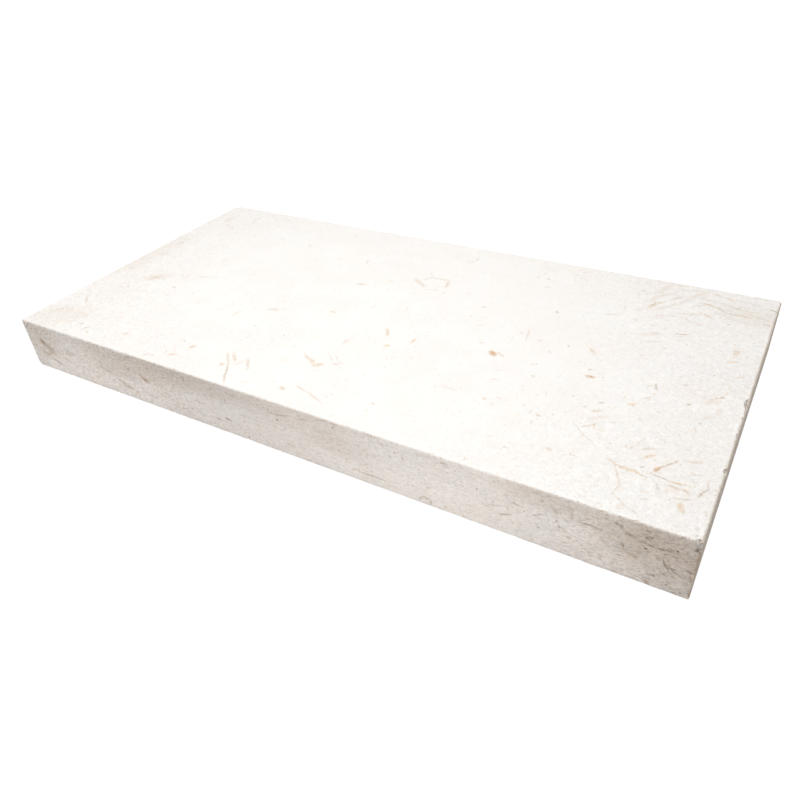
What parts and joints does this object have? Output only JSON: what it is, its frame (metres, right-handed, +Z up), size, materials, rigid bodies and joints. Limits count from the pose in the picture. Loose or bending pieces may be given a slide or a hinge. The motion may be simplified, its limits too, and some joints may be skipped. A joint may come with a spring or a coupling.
{
  "type": "pool coping stone",
  "caption": "Rectangular shell-limestone pool coping slab with a honed top, straight sides and lightly eased, slightly chipped edges.",
  "frame": {"origin": "middle of the bed face, the face that lies on the ground or the mortar", "axes": "+X along the 610 mm length, which runs along the pool's edge; +Y across the 305 mm width, away from the front face seen in the picture; +Z up, out of the walking face"},
  "size_m": [0.61, 0.305, 0.05],
  "materials": {
    "shell_limestone": "honed ivory limestone with fine tan and grey shell flecks"
  },
  "bodies": {
    "root": {"coping_slab": "shell_limestone"}
  },
  "joints": []
}
